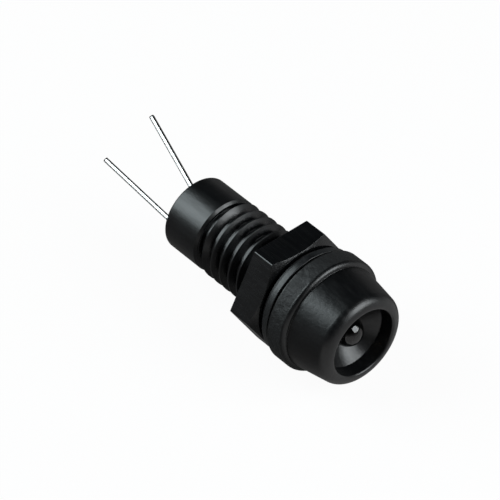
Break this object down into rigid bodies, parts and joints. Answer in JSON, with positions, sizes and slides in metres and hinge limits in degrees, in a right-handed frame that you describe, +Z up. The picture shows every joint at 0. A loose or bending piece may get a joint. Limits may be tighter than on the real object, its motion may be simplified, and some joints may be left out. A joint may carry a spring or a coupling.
{
  "type": "panel-mount led indicator lamp",
  "caption": "Small lamp deep in the cone-shaped mouth of a black moulded bezel, on a threaded barrel with a hexagon nut and washers behind the flange, and wire leads out of its tail.",
  "frame": {"origin": "on the lamp's axis, at the rear face of the flange, which seats towards the panel", "axes": "+Y along the lamp's axis to the rear, through the panel; the lamp shines to -Y; +Z up"},
  "size_m": [0.0128, 0.0368, 0.012],
  "materials": {
    "housing": "satin black, injection moulded",
    "led_lens": "water-clear cast epoxy",
    "led_chip": "sawn semiconductor die",
    "bond_wire": "bright gold wire",
    "cathode_lead": "tin-plated",
    "anode_lead": "tin-plated",
    "led_spacer": "matt black, moulded",
    "end_cap": "satin black, injection moulded",
    "gasket": "matt black, cut from sheet",
    "flat_washer": "black-finished steel",
    "lock_washer": "black-finished spring steel",
    "hex_nut": "satin black, injection moulded"
  },
  "bodies": {
    "root": {"housing": "housing", "led_lens": "led_lens", "led_chip": "led_chip", "bond_wire": "bond_wire", "cathode_lead": "cathode_lead", "anode_lead": "anode_lead", "led_spacer": "led_spacer", "end_cap": "end_cap", "gasket": "gasket", "flat_washer": "flat_washer", "lock_washer": "lock_washer", "hex_nut": "hex_nut"}
  },
  "joints": []
}
